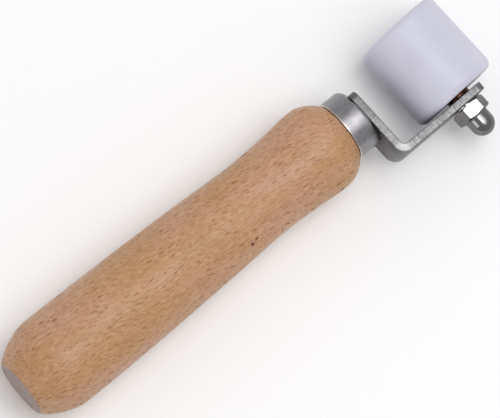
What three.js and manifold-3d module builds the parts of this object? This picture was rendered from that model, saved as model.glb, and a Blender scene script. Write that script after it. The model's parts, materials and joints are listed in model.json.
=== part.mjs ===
// Hand seam roller: a smooth PTFE roller on ball bearings, carried on one side by an L-shaped
// bracket that is riveted to a turned beech handle.
// Millimetres. Origin: centre of the flat butt end of the handle. +X runs along the handle to the
// head, -Y is the side of the acorn nut, +Z is normal to the plane of handle and roller axis.
import * as THREE from "three";
import { mergeVertices } from "three/addons/utils/BufferGeometryUtils.js";
import Module from "manifold-3d";

const wasm = await Module();
wasm.setup();

// Handle
const HANDLE_LENGTH = 123.4;
const BUTT_FLAT_RADIUS = 9;
const SWELL = { x: 13.2, radius: 15.1 };
const WAIST = { x: 89.4, radius: 12.9 };
const BULGE = { x: 114.8, radius: 14.2 };
const SHOULDER_RADIUS = 9.8;

// Ferrule: a steel cup over the tenon of the handle, with a shallow seat in its front that takes
// the foot of the bracket and keeps it from turning
const FERRULE_RADIUS = 9.9;
const FERRULE_LENGTH = 8.2;
const FERRULE_WALL = 1;
const FERRULE_FRONT_WALL = 1.8;
const FERRULE_CORNER = 1.8;
const SEAT_DEPTH = 0.8;

// Bracket: flat bar with a foot across the ferrule and an arm along the side of the roller
const BAR_THICKNESS = 2.5;
const BAR_WIDTH = 18;
const BEND_INNER_RADIUS = 1.4;
const BAR_CORNER = 2.5;
const FOOT_END = 6.6;
const ARM_REACH = 33.7;
const ARM_INNER_FACE = 15.5;

// Small angles left by hand bending and assembly, in degrees
const ARM_LEAN = 1.2;
const BEND_OPENING = 1.5;
const AXLE_TILT = 1.9;

// Roller
const ROLLER_RADIUS = 14.2;
const ROLLER_LENGTH = 28;
const ROLLER_RIM = 2.4;
const ROLLER_TO_ARM = 1.2;
const POCKET_CHAMFER = 0.4;
const SHOULDER_DEPTH = 1.5;

// Axle: M6 bolt with its head sunk in the roller, acorn nut outside the arm
const AXLE_FROM_TIP = 6.2;
const BOLT_RADIUS = 3;
const HEX_ACROSS_FLATS = 10;
const HEX_CHAMFER = 0.55;
const HEX_FACE_INSET = 0.2;
const BOLT_END_CHAMFER = 0.6;
const BOLT_HEAD_HEIGHT = 4;
const HEAD_SINK = 0.4;
const NUT_HEX_HEIGHT = 4.2;
const NUT_DOME_RADIUS = 3.9;
const NUT_HEIGHT = 10.8;
const NUT_TURN = -34;
const NUT_NECK = 0.7;
const WASHER_THICKNESS = 0.8;
const WASHER_RADIUS = 5;
const SPACER_RADIUS = 4;

// Ball bearings, 6 x 19 x 6 mm, two shields each
const BEARING_RADIUS = 9.5;
const BEARING_WIDTH = 6;
const BEARING_SINK = 0.5;
const BALL_COUNT = 7;
const BALL_RADIUS = 1.75;
const RACE_RADIUS = 1.9;
const INNER_LAND = 4.9;
const OUTER_LAND = 7.6;
const SHIELD_SEAT = 8.1;
const SHIELD_THICKNESS = 0.35;
const CAGE_THICKNESS = 0.9;
const CAGE_WIDTH = 4.6;
const SLEEVE_RADIUS = 4.5;

// Tang: barbed rod in the handle, peened over in the foot of the bracket
const TANG_RADIUS = 3.2;
const TANG_LENGTH = 55;
const TANG_NECK_RADIUS = 2.5;
const TANG_BARBS = 6;
const BARB_DEPTH = 0.6;
const RIVET_HEAD_RADIUS = 4;
const RIVET_CROWN = 0.6;
const COUNTERSINK_DEPTH = 1.3;

// Clearances. The wider one lets the tilted axle pass through and sit against the arm.
const GAP = 0.2;
const FIT = 0.15;
const TILT_GAP = 0.35;

// Edge of the blocks that trim the bar and cut its seat, well beyond the part itself
const BLOCK_SIZE = 120;

const MATERIALS = {
  beech: new THREE.MeshStandardMaterial({ color: 0xc49c76, roughness: 0.5, metalness: 0 }),
  ferrule: new THREE.MeshStandardMaterial({ color: 0x8e8b92, roughness: 0.35, metalness: 1 }),
  bar: new THREE.MeshStandardMaterial({ color: 0x9a979c, roughness: 0.45, metalness: 1 }),
  polished: new THREE.MeshStandardMaterial({ color: 0xd8d8dc, roughness: 0.12, metalness: 1 }),
  bearing: new THREE.MeshStandardMaterial({ color: 0xb9bcc2, roughness: 0.22, metalness: 1 }),
  ptfe: new THREE.MeshStandardMaterial({ color: 0xdcdbe6, roughness: 0.4, metalness: 0 }),
  brass: new THREE.MeshStandardMaterial({ color: 0xb87a4a, roughness: 0.3, metalness: 1 }),
};

const point = (x, y) => new THREE.Vector2(x, y);
const radians = THREE.MathUtils.degToRad;

// --- Geometry helpers ---------------------------------------------------------------------------

// Points of a round stretch, from one angle to another in degrees, both ends included.
function arc(centreX, centreY, radius, from, to, steps) {
  return Array.from({ length: steps + 1 }, (_, i) => {
    const angle = radians(from + ((to - from) * i) / steps);
    return point(centreX + radius * Math.cos(angle), centreY + radius * Math.sin(angle));
  });
}

// A solid of revolution about Y. The outline is radius and height, counter-clockwise.
function turned(outline, segments) {
  return new THREE.LatheGeometry(outline, segments);
}

// A ring, whose outline doesn't touch the axis and closes on itself.
function turnedRing(outline, segments) {
  return turned([...outline, outline[0]], segments);
}

// A plain tube or washer from one height to another.
function tube(innerRadius, outerRadius, low, high, segments) {
  const outline = [
    point(innerRadius, low),
    point(outerRadius, low),
    point(outerRadius, high),
    point(innerRadius, high),
  ];
  return turnedRing(outline, segments);
}

// A plain cylinder about Y, used as a drill.
function drill(radius, low, high, segments = 24) {
  return new THREE.CylinderGeometry(radius, radius, high - low, segments).translate(
    0,
    (low + high) / 2,
    0,
  );
}

function solidOf(geometry) {
  const bare = new THREE.BufferGeometry();
  bare.setAttribute("position", geometry.getAttribute("position"));
  bare.setIndex(geometry.index);
  const merged = mergeVertices(bare, 1e-4);
  return new wasm.Manifold(
    new wasm.Mesh({
      numProp: 3,
      vertProperties: merged.attributes.position.array,
      triVerts: new Uint32Array(merged.index.array),
    }),
  );
}

function geometryOf(solid) {
  const { vertProperties, triVerts } = solid.getMesh();
  const geometry = new THREE.BufferGeometry();
  geometry.setAttribute("position", new THREE.BufferAttribute(vertProperties, 3));
  geometry.setIndex(new THREE.BufferAttribute(triVerts, 1));
  geometry.computeVertexNormals();
  return geometry;
}

function cut(body, ...tools) {
  const solid = tools.reduce((left, tool) => left.subtract(solidOf(tool)), solidOf(body));
  return geometryOf(solid);
}

function common(...bodies) {
  return geometryOf(bodies.map(solidOf).reduce((left, right) => left.intersect(right)));
}

function joined(...bodies) {
  return geometryOf(bodies.map(solidOf).reduce((left, right) => left.add(right)));
}

function addMesh(parent, name, geometry, material) {
  const mesh = new THREE.Mesh(geometry, material);
  mesh.name = name;
  parent.add(mesh);
  return mesh;
}

// --- Handle, ferrule and tang, all turned about the handle's axis ----------------------------------

// The foot of the bracket leans in its seat, and the front of the ferrule has the same slope.
const FOOT_ANGLE = radians(ARM_LEAN + BEND_OPENING);
const FOOT_SLOPE = Math.tan(FOOT_ANGLE);
const FERRULE_FACE = HANDLE_LENGTH + FERRULE_LENGTH;
const SEAT_FLOOR = FERRULE_FACE - SEAT_DEPTH;
const FOOT_BACK = SEAT_FLOOR + FIT;
const TENON_END = FERRULE_FACE - FERRULE_FRONT_WALL - GAP - FERRULE_RADIUS * FOOT_SLOPE;
const TANG_START = HANDLE_LENGTH - TANG_LENGTH;

// Radius against distance from the butt, as one smooth curve from flat to shoulder.
function handleCurve() {
  const curve = new THREE.Path();
  curve.moveTo(BUTT_FLAT_RADIUS, 0);
  const stretches = [
    [11.4, 1.3, SWELL.radius, SWELL.x - 4.4, SWELL.radius, SWELL.x],
    [SWELL.radius, SWELL.x + 35, WAIST.radius, WAIST.x - 2, WAIST.radius, WAIST.x],
    [WAIST.radius, WAIST.x + 15.5, BULGE.radius, BULGE.x - 6, BULGE.radius, BULGE.x],
    [BULGE.radius, BULGE.x + 4.6, 11.6, HANDLE_LENGTH - 1.6, SHOULDER_RADIUS, HANDLE_LENGTH],
  ];
  for (const stretch of stretches) curve.bezierCurveTo(...stretch);
  return curve.getPoints(6);
}

function handle() {
  const tenonRadius = FERRULE_RADIUS - FERRULE_WALL - GAP;
  const boreRadius = TANG_RADIUS + GAP;
  return turned(
    [
      point(0, 0),
      ...handleCurve(),
      point(tenonRadius, HANDLE_LENGTH),
      point(tenonRadius, TENON_END - FERRULE_CORNER / 2),
      point(tenonRadius - FERRULE_CORNER / 2, TENON_END),
      point(boreRadius, TENON_END),
      point(boreRadius, TANG_START),
      point(0, TANG_START - TANG_RADIUS),
    ],
    48,
  );
}

// Slides the points of a turned piece along its axis, by nothing at one height and up to the full
// slope at another.
function sloped(geometry, low, high, slope) {
  const points = geometry.getAttribute("position");
  for (let i = 0; i < points.count; i++) {
    const share = (points.getY(i) - low) / (high - low);
    points.setY(i, points.getY(i) + share * slope * points.getX(i));
  }
  return geometry;
}

function ferrule() {
  const inner = FERRULE_RADIUS - FERRULE_WALL;
  const innerCorner = FERRULE_CORNER - FERRULE_WALL;
  const rim = HANDLE_LENGTH + GAP;
  const ceiling = FERRULE_FACE - FERRULE_FRONT_WALL;
  const cornerHeight = FERRULE_FACE - FERRULE_CORNER;
  const holeRadius = TANG_RADIUS + GAP;
  const cup = turnedRing(
    [
      point(inner, rim),
      point(FERRULE_RADIUS, rim),
      ...arc(FERRULE_RADIUS - FERRULE_CORNER, cornerHeight, FERRULE_CORNER, 0, 90, 4),
      point(holeRadius, FERRULE_FACE),
      point(holeRadius, ceiling),
      ...arc(inner - innerCorner, ceiling - innerCorner, innerCorner, 90, 0, 2),
    ],
    40,
  );
  const seat = roundedEnd(FOOT_END, FIT).translate(0, BLOCK_SIZE / 2, 0);
  seat.rotateY(Math.PI).rotateZ(FOOT_ANGLE).translate(0, SEAT_FLOOR, 0);
  return cut(sloped(cup, rim, FERRULE_FACE, FOOT_SLOPE), seat);
}

// The shank carries saw-tooth barbs that face out of the handle.
function tang() {
  const rootRadius = TANG_RADIUS - BARB_DEPTH;
  const barbPitch = TANG_LENGTH / (TANG_BARBS + 3);
  const barbs = Array.from({ length: TANG_BARBS }, (_, i) => {
    const low = TANG_START + barbPitch * (i + 1);
    return [point(rootRadius, low), point(TANG_RADIUS, low + barbPitch * 0.8)];
  }).flat();
  const neckStart = SEAT_FLOOR - GAP;
  const headFace = FOOT_BACK + BAR_THICKNESS;
  const headBase = headFace - COUNTERSINK_DEPTH;
  return turned(
    [
      point(0, TANG_START),
      point(rootRadius, TANG_START + 2),
      ...barbs,
      point(TANG_RADIUS, neckStart),
      point(TANG_NECK_RADIUS, neckStart),
      point(TANG_NECK_RADIUS, headBase),
      point(RIVET_HEAD_RADIUS, headFace),
      point(RIVET_HEAD_RADIUS * 0.7, headFace + RIVET_CROWN * 0.75),
      point(0, headFace + RIVET_CROWN),
    ],
    24,
  );
}

// --- Bracket --------------------------------------------------------------------------------------
// Its own frame: origin where the handle's axis meets the back of the foot, +X along the arm.

const ARM_OUTER_FACE = ARM_INNER_FACE + BAR_THICKNESS;
const AXLE_X = ARM_REACH - AXLE_FROM_TIP;

// The L in side view. The foot is opened away from the arm by BEND_OPENING.
function barOutline() {
  const bendOuterRadius = BEND_INNER_RADIUS + BAR_THICKNESS;
  const lean = radians(BEND_OPENING);
  const up = point(-Math.sin(lean), Math.cos(lean));
  const back = point(-Math.cos(lean), -Math.sin(lean));
  const centreY = BEND_INNER_RADIUS - ARM_INNER_FACE;
  const centreX = (bendOuterRadius - centreY * Math.sin(lean)) / Math.cos(lean);
  const centre = point(centreX, centreY);
  const footLength = (FOOT_END - centreY) / Math.cos(lean);
  const footEnd = (radius) =>
    centre.clone().addScaledVector(back, radius).addScaledVector(up, footLength);
  return new THREE.Shape([
    point(ARM_REACH, -ARM_OUTER_FACE),
    point(ARM_REACH, -ARM_INNER_FACE),
    ...arc(centreX, centreY, BEND_INNER_RADIUS, 270, 180 + BEND_OPENING, 6),
    footEnd(BEND_INNER_RADIUS),
    footEnd(bendOuterRadius),
    ...arc(centreX, centreY, bendOuterRadius, 180 + BEND_OPENING, 270, 10),
  ]);
}

// A block as wide as the bar whose far end has two rounded corners. The bar keeps what lies inside
// it, and its seat is the same shape, larger by a margin all round.
function roundedEnd(reach, margin = 0) {
  const half = BAR_WIDTH / 2 + margin;
  const straight = reach - BAR_CORNER;
  const radius = BAR_CORNER + margin;
  const shape = new THREE.Shape([
    point(-BLOCK_SIZE / 2, -half),
    ...arc(straight, radius - half, radius, -90, 0, 5),
    ...arc(straight, half - radius, radius, 0, 90, 5),
    point(-BLOCK_SIZE / 2, half),
  ]);
  const block = new THREE.ExtrudeGeometry(shape, { depth: BLOCK_SIZE, bevelEnabled: false });
  return block.translate(0, 0, -BLOCK_SIZE / 2).rotateX(Math.PI / 2);
}

// The round hole and the countersink that take the neck and the peened head of the tang.
function rivetHole() {
  const radius = TANG_NECK_RADIUS + TILT_GAP;
  const sinkSlope = (RIVET_HEAD_RADIUS - TANG_NECK_RADIUS) / COUNTERSINK_DEPTH;
  const sinkBase = BAR_THICKNESS - COUNTERSINK_DEPTH;
  const top = BAR_THICKNESS + 1;
  const hole = turned(
    [
      point(0, -1),
      point(radius, -1),
      point(radius, sinkBase),
      point(radius + sinkSlope * (top - sinkBase), top),
      point(0, top),
    ],
    24,
  );
  return hole.rotateZ(-Math.PI / 2 - radians(ARM_LEAN));
}

function bracket() {
  const bar = new THREE.ExtrudeGeometry(barOutline(), { depth: BAR_WIDTH, bevelEnabled: false });
  bar.translate(0, 0, -BAR_WIDTH / 2);
  const armEnd = roundedEnd(ARM_REACH);
  const footEnd = roundedEnd(FOOT_END).rotateZ(Math.PI / 2);
  const axleHole = drill(BOLT_RADIUS + TILT_GAP, -ARM_OUTER_FACE - 1, -ARM_INNER_FACE + 1);
  axleHole.translate(AXLE_X, 0, 0);
  return cut(common(bar, armEnd, footEnd), axleHole, rivetHole());
}

// --- Axle parts, turned about the axle: Y is zero at the inner face of the arm ---------------------

const ROLLER_START = ROLLER_TO_ARM;
const ROLLER_END = ROLLER_START + ROLLER_LENGTH;
const HEAD_TOP = ROLLER_END - HEAD_SINK;
const HEAD_BASE = HEAD_TOP - BOLT_HEAD_HEIGHT;
const WASHER_TOP = HEAD_BASE - GAP;
const WASHER_BASE = WASHER_TOP - WASHER_THICKNESS;
const NUT_BASE = -BAR_THICKNESS - TILT_GAP;
const DOME_CENTRE = NUT_BASE - NUT_HEIGHT + NUT_DOME_RADIUS;
const BEARING_CENTRES = [
  ROLLER_START + BEARING_SINK + BEARING_WIDTH / 2,
  WASHER_BASE - GAP - BEARING_WIDTH / 2,
];

// A hexagonal prism with the usual turned chamfer at both ends.
function hexPrism(low, high) {
  const cornerRadius = HEX_ACROSS_FLATS / Math.sqrt(3);
  const faceRadius = HEX_ACROSS_FLATS / 2 - HEX_FACE_INSET;
  const prism = new THREE.CylinderGeometry(cornerRadius, cornerRadius, high - low, 6);
  prism.translate(0, (low + high) / 2, 0);
  const chamferBody = turned(
    [
      point(0, low),
      point(faceRadius, low),
      point(cornerRadius, low + HEX_CHAMFER),
      point(cornerRadius, high - HEX_CHAMFER),
      point(faceRadius, high),
      point(0, high),
    ],
    36,
  );
  return common(prism, chamferBody);
}

function axleBolt() {
  const shank = turned(
    [
      point(0, DOME_CENTRE),
      point(BOLT_RADIUS - BOLT_END_CHAMFER, DOME_CENTRE),
      point(BOLT_RADIUS, DOME_CENTRE + BOLT_END_CHAMFER),
      point(BOLT_RADIUS, HEAD_BASE + GAP),
      point(0, HEAD_BASE + GAP),
    ],
    32,
  );
  return joined(hexPrism(HEAD_BASE, HEAD_TOP), shank);
}

// A hexagon with a slimmer closed dome; the thread's bore is blind.
function acornNut() {
  const hexTop = NUT_BASE - NUT_HEX_HEIGHT;
  const neckRadius = HEX_ACROSS_FLATS / 2 - HEX_FACE_INSET;
  const dome = turned(
    [
      ...arc(0, DOME_CENTRE, NUT_DOME_RADIUS, -90, 0, 6),
      point(NUT_DOME_RADIUS, hexTop - NUT_NECK),
      point(neckRadius, hexTop),
      point(neckRadius, hexTop + NUT_NECK),
      point(0, hexTop + NUT_NECK),
    ],
    32,
  );
  const hexagon = hexPrism(hexTop, NUT_BASE).rotateY(radians(NUT_TURN));
  const bore = drill(BOLT_RADIUS + FIT, DOME_CENTRE - BOLT_END_CHAMFER, NUT_BASE + 1, 32);
  return cut(joined(hexagon, dome), bore);
}

function rollerSleeve() {
  const pocket = BEARING_RADIUS + FIT;
  const shoulder = BEARING_RADIUS - SHOULDER_DEPTH;
  const [nearBearing, farBearing] = BEARING_CENTRES;
  const shoulderLow = nearBearing + BEARING_WIDTH / 2 + GAP;
  const shoulderHigh = farBearing - BEARING_WIDTH / 2 - GAP;
  const rimCentre = ROLLER_RADIUS - ROLLER_RIM;
  return turnedRing(
    [
      point(pocket + POCKET_CHAMFER, ROLLER_START),
      ...arc(rimCentre, ROLLER_START + ROLLER_RIM, ROLLER_RIM, -90, 0, 4),
      ...arc(rimCentre, ROLLER_END - ROLLER_RIM, ROLLER_RIM, 0, 90, 4),
      point(pocket + POCKET_CHAMFER, ROLLER_END),
      point(pocket, ROLLER_END - POCKET_CHAMFER),
      point(pocket, shoulderHigh),
      point(shoulder, shoulderHigh),
      point(shoulder, shoulderLow),
      point(pocket, shoulderLow),
      point(pocket, ROLLER_START + POCKET_CHAMFER),
    ],
    48,
  );
}

// --- Ball bearings, centred on Y = 0 ---------------------------------------------------------------

const PITCH_RADIUS = (BOLT_RADIUS + BEARING_RADIUS) / 2;

// Half angle, in degrees, of the groove that a race cuts into a ring's land.
function grooveAngle(landRadius) {
  const depth = Math.abs(landRadius - PITCH_RADIUS);
  return THREE.MathUtils.radToDeg(Math.acos(depth / RACE_RADIUS));
}

function innerRing() {
  const half = BEARING_WIDTH / 2;
  const bore = BOLT_RADIUS + FIT;
  const reach = grooveAngle(INNER_LAND);
  return turnedRing(
    [
      point(bore, -half),
      point(INNER_LAND, -half),
      ...arc(PITCH_RADIUS, 0, RACE_RADIUS, 180 + reach, 180 - reach, 4),
      point(INNER_LAND, half),
      point(bore, half),
    ],
    30,
  );
}

function outerRing() {
  const half = BEARING_WIDTH / 2;
  const seat = half - SHIELD_THICKNESS - 2 * FIT;
  const reach = grooveAngle(OUTER_LAND);
  return turnedRing(
    [
      point(SHIELD_SEAT, -half),
      point(BEARING_RADIUS, -half),
      point(BEARING_RADIUS, half),
      point(SHIELD_SEAT, half),
      point(SHIELD_SEAT, seat),
      point(OUTER_LAND, seat),
      ...arc(PITCH_RADIUS, 0, RACE_RADIUS, reach, -reach, 4),
      point(OUTER_LAND, -seat),
      point(SHIELD_SEAT, -seat),
    ],
    30,
  );
}

// side is -1 or 1: which face of the bearing the shield closes.
function shield(side) {
  const middle = side * (BEARING_WIDTH / 2 - SHIELD_THICKNESS / 2 - FIT);
  const half = SHIELD_THICKNESS / 2;
  return tube(INNER_LAND + GAP, SHIELD_SEAT - FIT, middle - half, middle + half, 30);
}

const ballAngle = (index) => (index * 2 * Math.PI) / BALL_COUNT;

function ball(index) {
  const sphere = new THREE.SphereGeometry(BALL_RADIUS, 8, 6);
  return sphere.translate(PITCH_RADIUS, 0, 0).rotateY(-ballAngle(index));
}

// A ribbon with one round pocket for each ball.
function cage() {
  const inner = PITCH_RADIUS - CAGE_THICKNESS / 2;
  const ribbon = tube(inner, inner + CAGE_THICKNESS, -CAGE_WIDTH / 2, CAGE_WIDTH / 2, 28);
  const pockets = Array.from({ length: BALL_COUNT }, (_, i) =>
    drill(BALL_RADIUS + GAP, 0, PITCH_RADIUS + 1, 12)
      .rotateZ(-Math.PI / 2)
      .rotateY(-ballAngle(i)),
  );
  return cut(ribbon, ...pockets);
}

function addBearing(parent, label, centre) {
  const bearing = new THREE.Group();
  bearing.position.y = centre;
  parent.add(bearing);
  addMesh(bearing, `${label}_bearing_inner_ring`, innerRing(), MATERIALS.bearing);
  addMesh(bearing, `${label}_bearing_outer_ring`, outerRing(), MATERIALS.bearing);
  addMesh(bearing, `${label}_bearing_arm_side_shield`, shield(-1), MATERIALS.bearing);
  addMesh(bearing, `${label}_bearing_free_side_shield`, shield(1), MATERIALS.bearing);
  addMesh(bearing, `${label}_bearing_cage`, cage(), MATERIALS.brass);
  for (let i = 0; i < BALL_COUNT; i++) {
    addMesh(bearing, `${label}_bearing_ball_${i + 1}`, ball(i), MATERIALS.polished);
  }
}

// --- Assembly --------------------------------------------------------------------------------------

const BOLT_BORE = BOLT_RADIUS + FIT;

function boltWasher() {
  return tube(BOLT_BORE, WASHER_RADIUS, WASHER_BASE, WASHER_TOP, 32);
}

// Keeps the inner ring of the near bearing off the arm.
function armSpacer() {
  return tube(BOLT_BORE, SPACER_RADIUS, GAP, ROLLER_START + BEARING_SINK - GAP, 32);
}

// Keeps the inner rings of the two bearings apart.
function bearingSleeve() {
  const low = BEARING_CENTRES[0] + BEARING_WIDTH / 2 + GAP;
  const high = BEARING_CENTRES[1] - BEARING_WIDTH / 2 - GAP;
  return tube(BOLT_BORE, SLEEVE_RADIUS, low, high, 32);
}

const seamRoller = new THREE.Group();

const grip = new THREE.Group();
grip.rotation.z = -Math.PI / 2;
seamRoller.add(grip);
addMesh(grip, "handle", handle(), MATERIALS.beech);
addMesh(grip, "ferrule", ferrule(), MATERIALS.ferrule);
addMesh(grip, "tang", tang(), MATERIALS.bar);

const head = new THREE.Group();
head.position.x = FOOT_BACK;
head.rotation.z = radians(ARM_LEAN);
seamRoller.add(head);
addMesh(head, "bracket", bracket(), MATERIALS.bar);

const axle = new THREE.Group();
axle.position.set(AXLE_X, -ARM_INNER_FACE, 0);
axle.rotation.z = radians(AXLE_TILT);
head.add(axle);
addMesh(axle, "axle_bolt", axleBolt(), MATERIALS.polished);
addMesh(axle, "acorn_nut", acornNut(), MATERIALS.polished);
addMesh(axle, "bolt_washer", boltWasher(), MATERIALS.polished);
addMesh(axle, "arm_spacer", armSpacer(), MATERIALS.brass);
addMesh(axle, "bearing_sleeve", bearingSleeve(), MATERIALS.brass);
addMesh(axle, "roller_sleeve", rollerSleeve(), MATERIALS.ptfe);
addBearing(axle, "near", BEARING_CENTRES[0]);
addBearing(axle, "far", BEARING_CENTRES[1]);

export default seamRoller;
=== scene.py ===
import json
import math
import random

import bmesh
import bpy
from mathutils import Matrix, Vector


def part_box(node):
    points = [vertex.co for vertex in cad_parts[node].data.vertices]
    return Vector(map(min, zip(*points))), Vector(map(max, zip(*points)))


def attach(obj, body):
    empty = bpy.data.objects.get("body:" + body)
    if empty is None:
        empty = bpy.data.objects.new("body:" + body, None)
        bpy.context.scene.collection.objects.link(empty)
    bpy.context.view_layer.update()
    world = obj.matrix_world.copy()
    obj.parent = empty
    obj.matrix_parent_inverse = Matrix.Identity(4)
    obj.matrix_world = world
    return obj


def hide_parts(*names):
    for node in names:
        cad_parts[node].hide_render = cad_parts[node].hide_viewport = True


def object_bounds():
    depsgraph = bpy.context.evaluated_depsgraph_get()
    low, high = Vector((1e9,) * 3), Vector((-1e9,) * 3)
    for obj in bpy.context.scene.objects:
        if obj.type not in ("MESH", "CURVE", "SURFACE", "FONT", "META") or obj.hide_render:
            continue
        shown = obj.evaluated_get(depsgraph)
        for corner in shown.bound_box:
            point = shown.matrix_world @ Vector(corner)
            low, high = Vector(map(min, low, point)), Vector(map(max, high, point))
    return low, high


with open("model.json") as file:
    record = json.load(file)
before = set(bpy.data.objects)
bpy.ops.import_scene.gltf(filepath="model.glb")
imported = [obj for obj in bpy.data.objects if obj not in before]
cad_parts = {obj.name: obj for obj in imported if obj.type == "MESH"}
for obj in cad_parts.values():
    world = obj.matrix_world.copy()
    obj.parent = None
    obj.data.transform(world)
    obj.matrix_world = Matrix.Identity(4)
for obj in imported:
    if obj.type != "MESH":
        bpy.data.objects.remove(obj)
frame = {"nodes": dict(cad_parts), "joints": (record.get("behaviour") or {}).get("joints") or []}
CAD_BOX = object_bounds()

# A hand seam roller: turned beech handle, steel ferrule, L-shaped bracket, and a smooth white roller
# on ball bearings. The row frame has its origin at the middle of the handle's butt, +X along the
# handle, -Y on the side of the acorn nut and +Z up. Lengths in this script are millimetres.
MM = 0.001
UP = Vector((0, 0, 1))

# --- Dimensions, as in the CAD source ---------------------------------------------------------------

HANDLE_LENGTH = 123.4
BUTT_FLAT_RADIUS = 9
SWELL_X, SWELL_RADIUS = 13.2, 15.1
WAIST_X, WAIST_RADIUS = 89.4, 12.9
BULGE_X, BULGE_RADIUS = 114.8, 14.2
SHOULDER_RADIUS = 9.8
TENON_RADIUS = 8.7
# Where the round edge of the butt leaves its flat face: radius and distance from the butt
BUTT_EDGE = (11.4, 1.3)

FERRULE_RADIUS = 9.9
FERRULE_LENGTH = 8.2
FERRULE_WALL = 1
FERRULE_FRONT_WALL = 1.8
FERRULE_CORNER = 1.8
FERRULE_RIM_ROUND = 0.45
# Width of the band on the ferrule's back rim that is painted lighter, as a painted highlight
RIM_HIGHLIGHT_WIDTH = 0.35
SEAT_DEPTH = 0.8

BAR_THICKNESS = 2.5
BAR_WIDTH = 18
BEND_INNER_RADIUS = 1.4
BAR_CORNER = 2.5
FOOT_END = 6.6
ARM_REACH = 33.7
ARM_INNER_FACE = 15.5
ARM_LEAN = math.radians(1.2)
BEND_OPENING = math.radians(1.5)
# Length of the bend along the middle of the bar, and its middle's distance from the foot's end
BEND_LENGTH = (math.pi / 2 - BEND_OPENING) * (BEND_INNER_RADIUS + BAR_THICKNESS / 2)
BEND_MIDDLE = FOOT_END + ARM_INNER_FACE - BEND_INNER_RADIUS + BEND_LENGTH / 2

# Clearances. The wider one is where the tilted axle passes through the arm.
FIT = 0.15
GAP = 0.2
TILT_GAP = 0.35

TANG_RADIUS = 3.2
TANG_NECK_RADIUS = 2.5
TANG_LENGTH = 55
RIVET_HEAD_RADIUS = 4
RIVET_CROWN = 0.6
COUNTERSINK_DEPTH = 1.3

ROLLER_RADIUS = 14.2
ROLLER_LENGTH = 28
ROLLER_RIM = 2.4
ROLLER_TO_ARM = 1.2
POCKET_RADIUS = 9.65
POCKET_SHOULDER_RADIUS = 8
POCKET_CHAMFER = 0.4

BOLT_RADIUS = 3
BOLT_END_CHAMFER = 0.6
HEX_ACROSS_FLATS = 10
HEX_FACE_INSET = 0.15
HEX_BLUNTING = 0.05
HEX_CHAMFER_SLOPE = 0.56
BOLT_HEAD_HEIGHT = 4
HEAD_SINK = 0.4
NUT_HEX_HEIGHT = 4.2
NUT_HEIGHT = 10.8
NUT_DOME_RADIUS = 3.9
NUT_NECK = 0.35
NUT_BORE_CHAMFER = 0.4
NUT_TURN = math.radians(-34)
HEAD_TURN = math.radians(12)
WASHER_THICKNESS = 0.8
WASHER_RADIUS = 5
SPACER_RADIUS = 4
SLEEVE_RADIUS = 4.5

BEARING_RADIUS = 9.5
BEARING_WIDTH = 6
BEARING_SINK = 0.5
RACE_RADIUS = 1.9
INNER_LAND = 4.9
OUTER_LAND = 7.6
SHIELD_SEAT = 8.1
SHIELD_THICKNESS = 0.35
PITCH_RADIUS = (BOLT_RADIUS + BEARING_RADIUS) / 2

FERRULE_FACE = HANDLE_LENGTH + FERRULE_LENGTH
SEAT_FLOOR = FERRULE_FACE - SEAT_DEPTH
FOOT_BACK = SEAT_FLOOR + FIT
FOOT_ANGLE = ARM_LEAN + BEND_OPENING
FOOT_SLOPE = math.tan(FOOT_ANGLE)
TANG_START = HANDLE_LENGTH - TANG_LENGTH
TENON_END = FERRULE_FACE - FERRULE_FRONT_WALL - GAP - FERRULE_RADIUS * FOOT_SLOPE

# Heights along the axle, from the inner face of the arm
ROLLER_END = ROLLER_TO_ARM + ROLLER_LENGTH
HEAD_TOP = ROLLER_END - HEAD_SINK
HEAD_BASE = HEAD_TOP - BOLT_HEAD_HEIGHT
WASHER_TOP = HEAD_BASE - GAP
WASHER_BASE = WASHER_TOP - WASHER_THICKNESS
NUT_BASE = -BAR_THICKNESS - TILT_GAP
NUT_TIP = NUT_BASE - NUT_HEIGHT
NEAR_BEARING = ROLLER_TO_ARM + BEARING_SINK + BEARING_WIDTH / 2
FAR_BEARING = WASHER_BASE - GAP - BEARING_WIDTH / 2

# --- Placing ----------------------------------------------------------------------------------------


def turning_frame(origin, direction):
    """Local Z along the direction, local X as near to the row's +Z as it can be."""
    across = direction.cross(UP).normalized()
    rise = across.cross(direction)
    columns = Matrix((rise, across, direction)).transposed().to_4x4()
    return Matrix.Translation(origin) @ columns


def axle_frame():
    """The axle's own frame, from the roller's hinge and the arm's place in the CAD."""
    joint = next(j for j in frame["joints"] if j["child"] == "roller")
    direction = Vector(joint["axis"]).normalized()
    middle = ROLLER_TO_ARM + ROLLER_LENGTH / 2
    return turning_frame(Vector(joint["pos_m"]) / MM - middle * direction, direction)


HANDLE_FRAME = turning_frame(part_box("handle")[0].x / MM * Vector((1, 0, 0)), Vector((1, 0, 0)))
BRACKET_FRAME = Matrix.Translation((FOOT_BACK, 0, 0)) @ Matrix.Rotation(ARM_LEAN, 4, "Z")
AXLE_FRAME = axle_frame()

# --- Mesh helpers -----------------------------------------------------------------------------------

SMOOTH_BELOW = math.radians(32)
NEARLY_STRAIGHT = math.radians(165)
# The longest part of a side that one rounded corner may take
CORNER_SHARE = 0.45


def finished(name, mesh_data, place):
    """An object from a bmesh in local millimetres. Its mesh data is in the row frame."""
    bmesh.ops.remove_doubles(mesh_data, verts=mesh_data.verts, dist=1e-5)
    bmesh.ops.recalc_face_normals(mesh_data, faces=mesh_data.faces)
    for edge in mesh_data.edges:
        edge.smooth = edge.calc_face_angle(0) < SMOOTH_BELOW
    for face in mesh_data.faces:
        face.smooth = True
    mesh_data.transform(Matrix.Scale(MM, 4) @ place)
    mesh = bpy.data.meshes.new(name)
    mesh_data.to_mesh(mesh)
    mesh_data.free()
    piece = bpy.data.objects.new(name, mesh)
    bpy.context.scene.collection.objects.link(piece)
    return piece


def arc(centre, radius, start, end, steps):
    """Points of a round stretch in the plane of an outline; angles in degrees."""
    angles = [math.radians(start + (end - start) * i / steps) for i in range(steps + 1)]
    return [(centre[0] + radius * math.cos(a), centre[1] + radius * math.sin(a)) for a in angles]


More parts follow.
